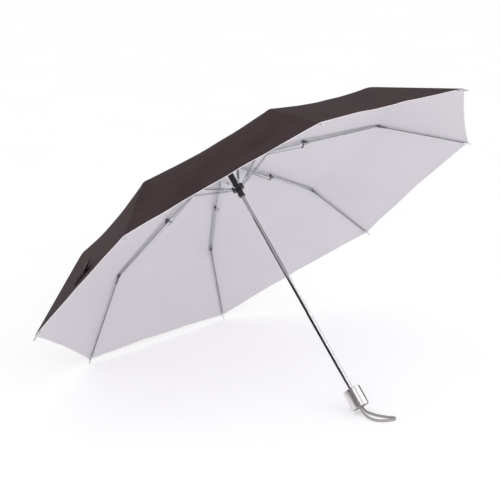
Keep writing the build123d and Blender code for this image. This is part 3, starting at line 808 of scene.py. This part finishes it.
def spine(zone, i):
    """The seam along a rib, a narrow strip over one hinge, left in place unbent."""
    low, high = SPINE_ENDS[zone]
    last = zone == "outer"
    shares = rows_between(low, high, SPINE_STEP, last)[:, None]
    felled = SEAM_HALF / SPINE
    sides = np.array([-1, -felled - 0.06, -felled, -0.3, 0.0, 0.3, felled, felled + 0.06, 1])[None, :]
    w = np.zeros((len(shares), sides.shape[1]))
    for _ in range(ROUNDS):
        end = rim_station(w) if last else high
        s = low + (end - low) * shares
        w = SPINE / (s * CHORD) * np.abs(sides)
    s = low + ((rim_station(w) if last else high) - low) * shares
    side = np.where(sides >= 0, 1.0, -1.0)
    points, normals = surface(i, s, w, side)
    right, left = cloth_uv(i, s, w, 1.0), cloth_uv(i, s, w, -1.0)
    uv = {layer: np.where((side > 0)[..., None], right[layer], left[layer]) for layer in right}
    ease_in = np.clip((s - SEAM_FROM) / SEAM_FADE, 0.0, 1.0)
    raised = np.where(np.abs(sides) <= felled + 0.01, SEAM_THICK, 0.0) * ease_in
    lift = hem_lift(s, w) if last else 0.0
    name = f"canopy_seam_{zone}_{i}"
    piece = thick_sheet(name, points, normals, uv, lift, (False, last, False, False), raised)
    declare(piece, points)
    bodies, (start, end) = {
        "top": (("upper_shaft", f"top_rib_{i}"), (DISC_S, CROWN_BEND)),
        "middle": ((f"top_rib_{i}", f"middle_rib_{i}"), (knee_r - KNEE_BEND, knee_r + KNEE_BEND)),
        "outer": ((f"middle_rib_{i}", f"outer_rib_{i}"), (elbow_r - ELBOW_BEND, elbow_r + ELBOW_BEND)),
    }[zone]
    start, end = (place(i, r, 0.0, profile(r, BEND_ROUND)) for r in (start, end))
    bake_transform(piece)


def crown_disc():
    """The middle of the canopy, clamped under the top cap."""
    rings = np.array([0.0039, 0.0065, 0.0095, 0.0117, DISC_S])[:, None]
    columns, steps, ribs = [], 6, len(RIBS)
    for turn in range(ribs * steps + 1):
        rib, part = turn // steps % ribs + 1, turn % steps / steps
        side, w = (1.0, part * 2) if part <= 0.5 else (-1.0, (1 - part) * 2)
        rib = rib if side > 0 else rib % ribs + 1
        share = np.full_like(rings, w)
        columns.append((*surface(rib, rings, share, side), cloth_uv(rib, rings, share, side)))
    points, normals = (np.concatenate([column[k] for column in columns], axis=1) for k in (0, 1))
    uv = {layer: np.concatenate([column[2][layer] for column in columns], axis=1) for layer in columns[0][2]}
    piece = thick_sheet("canopy_crown", points, normals, uv, 0.0, (True, False, False, False))
    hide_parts("canopy")
    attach(piece, "upper_shaft")


crown_disc()
for rib in RIBS:
    for zone in ZONES:
        spine(zone, rib)
        for side in (1.0, -1.0):
            wing(zone, rib, side)


# ---- tie strap --------------------------------------------------------------------------------------
# It lies across the middle of the panel between ribs 4 and 5, near the hem. On that panel c
# runs across from the middle and d outward.
TIE_AT = 0.80
TIE_OUT = (ELBOW_TOP[0] + (RIM_S - ELBOW_TOP[0]) * TIE_AT) * math.cos(HALF)
TIE_LONG, TIE_WIDE, TIE_THICK = 0.062, 0.0145, 0.0013
TIE_ROWS, TIE_COLUMNS = 41, 9
TIE_CORNER, TIE_TAPER = 0.003, 0.35
TIE_SEWN, TIE_GAP, TIE_LOOSE = 0.004, 0.0006, 0.0045
RIPPLE, RIPPLE_TURN = 0.0004, 260
TIE_KEEP, STUD_KEEP = 0.35, 0.95
TIE_RISE = 0.0015
SNAP_AT = -0.024

# which side of rib 4 the panel is on, and which way across the panel rib 4 is
SHAFT_Y = UP.cross(Vector((1.0, 0.0, 0.0)))
FOUR_SIDE = 1.0 if RADIALS[5].dot(TANGENTS[4]) > 0 else -1.0
FOUR_AT = 1.0 if (RADIALS[4] - RADIALS[5]).dot(SHAFT_Y) > 0 else -1.0


def on_panel(c, d):
    """Points and normals of the canopy at c across the panel from its middle, and d out."""
    x = np.abs(c) * math.sin(HALF) + d * math.cos(HALF)
    t = d * math.sin(HALF) - np.abs(c) * math.cos(HALF)
    four, five = skin(4, x, FOUR_SIDE * t), skin(5, x, -FOUR_SIDE * t)
    to_four = (c * FOUR_AT > 0)[..., None]
    return np.where(to_four, four[0], five[0]), np.where(to_four, four[1], five[1])


def tie_lift(c):
    """How far the tape's inner face stands off the cloth, most at its snap end."""
    loose = np.clip((-c - TIE_SEWN) / (TIE_LONG / 2 - TIE_SEWN), 0.0, 1.0)
    off_cloth = CLOTH + TIE_GAP + TIE_LOOSE * np.sin(loose * math.pi / 2) ** 2
    return off_cloth + RIPPLE * np.cos(c * RIPPLE_TURN)


def tie_fold():
    """The direction in which the tie strap gathers, and the anchor for it.

    The anchor brings the strap's middle to TIE_RISE above its place on the gathered wing.
    """
    keep = ZONES["outer"].keep
    axis, above = (np.array(v) for v in gathering("outer", 4, FOUR_SIDE))
    middle = on_panel(np.array([0.0]), np.array([TIE_OUT]))[0][0]
    edge = surface(4, ELBOW_TOP[0], SPINE / (ELBOW_TOP[0] * CHORD), FOUR_SIDE)[0]
    target = middle - (middle - edge) @ axis * (1 - keep) * axis + TIE_RISE * above
    move = middle - target
    return unit(move), middle - unit(move) * np.linalg.norm(move) / (1 - TIE_KEEP)


def follow_fold(piece):
    """Fixes a piece to outer rib 4, so that it moves with that rib."""
    axis, anchor = tie_fold()
    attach(piece, "outer_rib_4")
    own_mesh(piece)


def tie_tape():
    """A folded tape sewn down at its middle, its snap end standing a little off the cloth."""
    c = np.linspace(-TIE_LONG / 2, TIE_LONG / 2, TIE_ROWS)[:, None]
    d = np.linspace(-0.5, 0.5, TIE_COLUMNS)[None, :]
    corner = np.clip((np.abs(c) - TIE_LONG / 2 + TIE_CORNER) / TIE_CORNER, 0.0, 1.0)
    wide = TIE_WIDE * (1 - TIE_TAPER * (1 - np.sqrt(1 - corner**2)))
    c, d = np.broadcast_arrays(c, TIE_OUT + d * wide)
    points, normals = on_panel(c, d)
    inner = points + normals * tie_lift(c)[..., None]
    count = inner.shape[0] * inner.shape[1]
    index = np.arange(count).reshape(inner.shape[:2])
    ring = np.concatenate([index[0, :-1], index[:-1, -1], index[-1, :0:-1], index[:0:-1, 0]])
    quads = grid_quads(index)
    border = np.stack([ring, np.roll(ring, -1), np.roll(ring, -1) + count, ring + count], 1)
    corners = np.concatenate([inner.reshape(-1, 3), (inner + normals * TIE_THICK).reshape(-1, 3)])
    outward = np.cross(inner[0, 1] - inner[0, 0], inner[1, 0] - inner[0, 0]) @ normals[0, 0]
    faces = np.concatenate([quads + count, quads[:, ::-1], border])
    faces = faces[:, ::-1] if outward < 0 else faces
    grid = np.stack([d, c], -1).reshape(-1, 2)
    pairs = {"gore": np.concatenate([grid] * 2)}
    piece = mesh_piece("tie_tape", corners, faces, np.zeros(len(faces)), [TIE], pairs)
    declare(piece, inner, held="folded", node="tie_strap", rests_on=["canopy_outer_left_4"])
    follow_fold(piece)


def tie_stud():
    """The press stud near the strap's loose end: a domed cap with a rolled rim."""
    outline = [(0.0015, 0.00155), (0.0026, 0.0012), (0.0031, 0.0007), (0.0036, 0.0009)]
    outline += [(0.0041, 0.0008), (0.0042, 0.0004), (0.0042, 0.0)]
    points, normals = on_panel(np.array([SNAP_AT]), np.array([TIE_OUT]))
    n = normals[0]
    base = points[0] + n * (tie_lift(SNAP_AT) + TIE_THICK - 0.0001)
    a = unit(np.cross(n, np.array(UP)))
    b = np.cross(n, a)
    sides = 40
    turns = np.linspace(0, 2 * math.pi, sides, endpoint=False)
    corners = [base + n * 0.0016]
    for r, h in outline:
        corners += [base + n * h + r * (math.cos(q) * a + math.sin(q) * b) for q in turns]
    beside = [(k, (k + 1) % sides) for k in range(sides)]
    faces = [[0, 1 + k, 1 + m] for k, m in beside]
    for low in range(1, 1 + (len(outline) - 1) * sides, sides):
        faces += [[low + k, low + sides + k, low + sides + m, low + m] for k, m in beside]
    faces.append([1 + (len(outline) - 1) * sides + k for k in range(sides)][::-1])
    piece = smooth_object("tie_stud", corners, faces, [BLACK])
    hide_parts("tie_snap")
    follow_fold(piece)


tie_tape()
tie_stud()


# ---- thread ties ------------------------------------------------------------------------------------
COIL_TURNS, COIL_STEPS = 3, 20
COIL_ACROSS, COIL_RISE, COIL_CENTRE, COIL_LONG = 0.00155, 0.0024, 0.00095, 0.0011
THREAD_R, THREAD_SIDES = 0.00022, 6
COIL_SPOTS = [0.032, 0.104]


def thread_tie(i, along, number):
    """A few turns of thread round a rib's outer rod and through the cloth's seam."""
    r, z = off_bar(elbow_r, elbow_z, OPEN_OUTER, along, 0.0)
    turns = np.linspace(0.0, COIL_TURNS * 2 * math.pi, COIL_TURNS * COIL_STEPS + 1)
    across = COIL_ACROSS * np.cos(turns)
    rise = COIL_CENTRE + COIL_RISE * np.sin(turns)
    slip = COIL_LONG * (turns / turns[-1] - 0.5)
    c, s = math.cos(OPEN_OUTER), math.sin(OPEN_OUTER)
    line = place(i, r + slip * c - rise * s, across, z + slip * s + rise * c)
    corners = np.linspace(0, 2 * math.pi, THREAD_SIDES + 1)[:-1]
    section = [(THREAD_R * math.cos(q), THREAD_R * math.sin(q)) for q in corners]
    rod = c * np.array(RADIALS[i]) + s * np.array(UP)
    piece = tube(f"thread_tie_{number}_{i}", line, section, [THREAD], up=rod)
    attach(piece, f"outer_rib_{i}")


for rib in RIBS:
    for number, along in enumerate(COIL_SPOTS, 1):
        thread_tie(rib, along, number)


# ---- stage and light ---------------------------------------------------------------------------------
def flat_card(name, centre, toward, size, material, along=(0.0, 0.0, 1.0)):
    """A flat stage panel that faces a point. size is its width, and its height near along."""
    normal = unit(np.asarray(toward, float) - np.asarray(centre))
    across = unit(np.cross(normal, along))
    up = np.cross(across, normal)
    corners = [
        np.asarray(centre) + a * size[0] / 2 * across + b * size[1] / 2 * up
        for a, b in ((-1, -1), (1, -1), (1, 1), (-1, 1))
    ]
    card = mesh_piece(name, corners, [(0, 1, 2, 3)], [0], [material])
    return card


def gloss_card(name, colour, glow, *spot, **more):
    """A panel that only gloss sees: bright metal needs something dark and bright to show."""
    paint = Paint(f"{name}_paint", Roughness=1.0, Specular_IOR_Level=0.0)
    paint.glow(glow)
    tone = paint.noise(paint.solid(), 2.0, 2.0)
    paint.colour(paint.ramp(tone, [(0.3, tuple(c * 0.8 for c in colour)), (0.7, colour)]))
    card = flat_card(name, *spot, paint.material, **more)
    card.visible_camera = card.visible_diffuse = card.visible_shadow = False
    card.visible_transmission = card.visible_volume_scatter = False


def soft_light(name, spot, target, size, power):
    """A rectangular light aimed at a point, which gloss doesn't show."""
    data = bpy.data.lights.new(name, "AREA")
    data.shape = "RECTANGLE"
    data.size, data.size_y = size
    data.energy = power
    made = bpy.data.objects.new(name, data)
    made.location = spot
    made.rotation_euler = (Vector(target) - Vector(spot)).to_track_quat("-Z", "Y").to_euler()
    made.visible_glossy = False
    scene.collection.objects.link(made)


floor_paint = Paint("floor_paint", Roughness=0.85, Specular_IOR_Level=0.1)
floor_paint.glow(0.28)
floor_tone = floor_paint.noise(floor_paint.solid(), 3.0, 2.0)
floor_paint.colour(floor_paint.ramp(floor_tone, [(0.3, (0.90, 0.90, 0.905)), (0.7, (0.92, 0.92, 0.92))]))
flat_card("floor", (0, 0, -0.0002), (0, 0, 1), (24, 24), floor_paint.material, along=(0, 1, 0))

GRIP = (0.0, -0.2, 0.12)
DARK = (0.012, 0.010, 0.011)
MAUVE = (0.09, 0.065, 0.07)
BRIGHT, STRIP_GLOW = (0.9, 0.9, 0.9), 3.0
LEANING = (0.65, -0.76, 0.65)
SHAFT_MIDDLE = CENTRE - 0.17 * UP
gloss_card("flag_left", DARK, 0.0, (-1.6, 0.35, 0.45), GRIP, (2.0, 1.1))
gloss_card("flag_camera", MAUVE, 0.0, (-1.07, -0.6, 0.72), GRIP, (0.8, 1.25), along=LEANING)
gloss_card("flag_floor", DARK, 0.0, (-1.1, 0.9, 0.003), (-1.1, 0.9, 1.0), (1.4, 1.6), along=(0, 1, 0))
gloss_card("flag_right", DARK, 0.0, (1.5, 0.3, 0.35), GRIP, (1.6, 0.7))
gloss_card("strip_front", BRIGHT, STRIP_GLOW, (-0.42, -0.95, 1.12), GRIP, (0.7, 0.16), along=LEANING)
gloss_card("strip_right", BRIGHT, STRIP_GLOW, (1.0, -0.8, 1.0), GRIP, (1.0, 0.5), along=(0.3, -0.3, 0.9))

for number, (way, wide) in enumerate([((-0.75, 0.6, -0.25), 0.11), ((0.93, 0.3, 0.0), 0.07)]):
    spot = SHAFT_MIDDLE + 0.12 * Vector(way)
    gloss_card(f"flag_shaft_{number}", DARK, 0.0, spot, SHAFT_MIDDLE, (wide, 0.42), along=UP)

world = bpy.data.worlds.new("studio")
scene.world = world
world.use_nodes = True
background = world.node_tree.nodes["Background"]
background.inputs["Color"].default_value = WHITE
background.inputs["Strength"].default_value = 0.78
soft_light("key", (-1.9, -1.8, 0.9), (0, 0, 0.3), (1.4, 1.2), 14)
soft_light("fill", (0.4, -2.6, 0.9), (0, -0.05, 0.3), (1.6, 1.2), 7)
